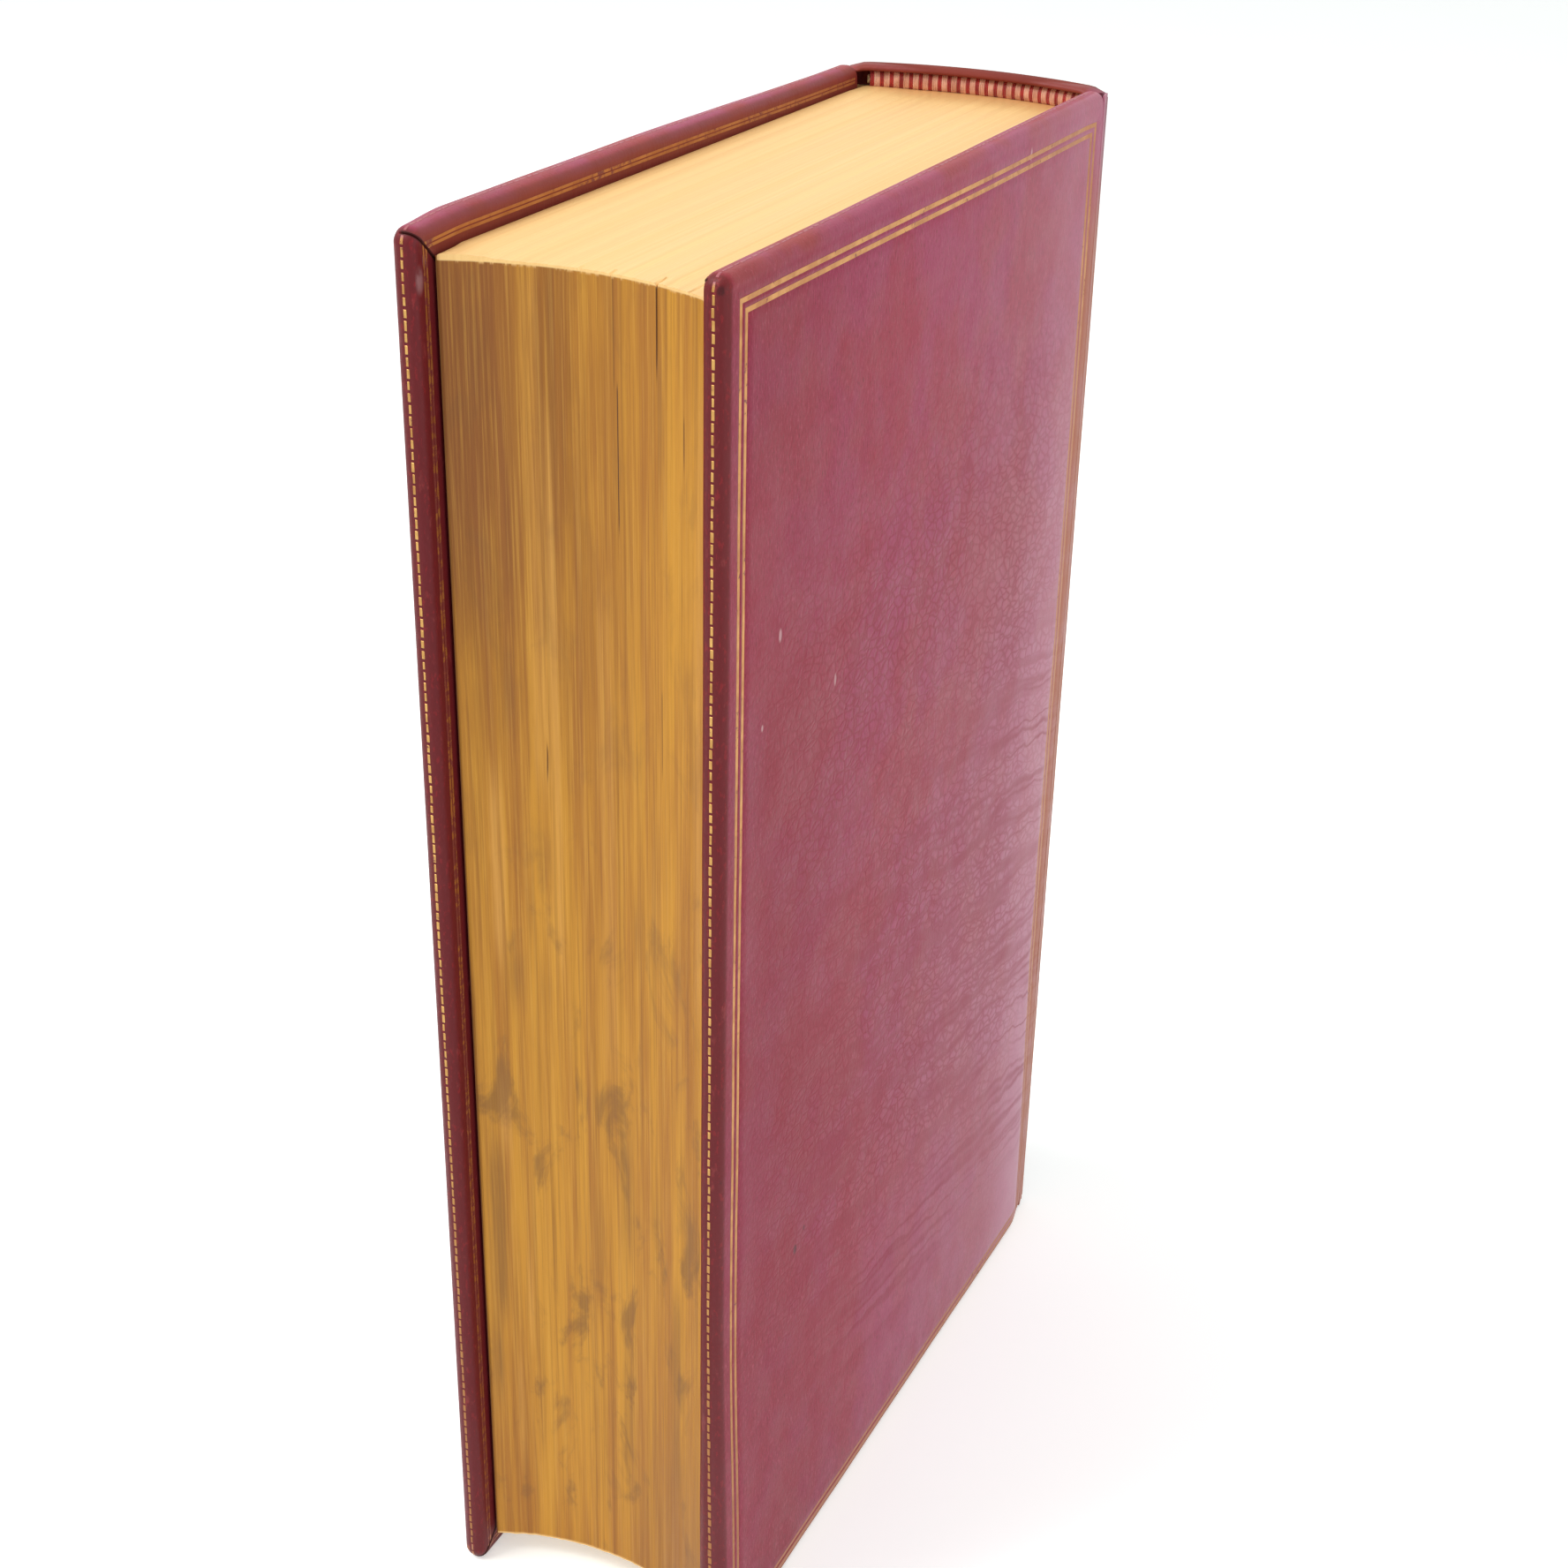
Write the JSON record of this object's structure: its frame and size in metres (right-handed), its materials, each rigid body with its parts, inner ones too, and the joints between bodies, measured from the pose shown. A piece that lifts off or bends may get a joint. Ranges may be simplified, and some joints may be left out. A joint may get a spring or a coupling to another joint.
{
  "type": "antique leather-bound book",
  "caption": "Upright antique book in full burgundy leather with a rounded spine, raised bands, gilt edges and fillets; both covers open on their joints.",
  "frame": {"origin": "bottom centre of the closed book's bounding box, on the surface it stands on", "axes": "+Z from tail to head, +X towards the fore-edge, +Y towards the rear cover"},
  "size_m": [0.1474, 0.0494, 0.23],
  "materials": {
    "covering_leather": "satin",
    "gilt_edged_leaves": "satin",
    "endpaper": "matte",
    "millboard": "matte",
    "hemp_cord": "matte",
    "lining_paper": "matte",
    "gold_leaf": "satin",
    "cream_silk": "satin",
    "red_silk": "satin"
  },
  "bodies": {
    "book_block": {"text_block": "gilt_edged_leaves", "front_flyleaf": "endpaper", "rear_flyleaf": "endpaper", "sewing_cords": "hemp_cord", "spine_lining": "lining_paper", "spine_leather": "covering_leather", "spine_gilt_rules": "gold_leaf", "head_band_core": "hemp_cord", "head_band_cream_silk": "cream_silk", "head_band_red_silk": "red_silk", "tail_band_core": "hemp_cord", "tail_band_cream_silk": "cream_silk", "tail_band_red_silk": "red_silk"},
    "front_cover": {"front_board": "millboard", "front_cord_slips": "hemp_cord", "front_cover_leather": "covering_leather", "front_gilt_fillets": "gold_leaf", "front_edge_gilt": "gold_leaf", "front_turn_in_gilt": "gold_leaf", "front_pastedown": "endpaper"},
    "rear_cover": {"rear_board": "millboard", "rear_cord_slips": "hemp_cord", "rear_cover_leather": "covering_leather", "rear_gilt_fillets": "gold_leaf", "rear_edge_gilt": "gold_leaf", "rear_turn_in_gilt": "gold_leaf", "rear_pastedown": "endpaper"}
  },
  "joints": [
    {"name": "front_cover_joint", "type": "hinge", "parent": "book_block", "child": "front_cover", "pos_m": [-0.06445, -0.02465, 0.115], "axis": [0, 0, -1], "range_deg": [0, 170]},
    {"name": "rear_cover_joint", "type": "hinge", "parent": "book_block", "child": "rear_cover", "pos_m": [-0.06445, 0.02465, 0.115], "axis": [0, 0, 1], "range_deg": [0, 170]}
  ]
}
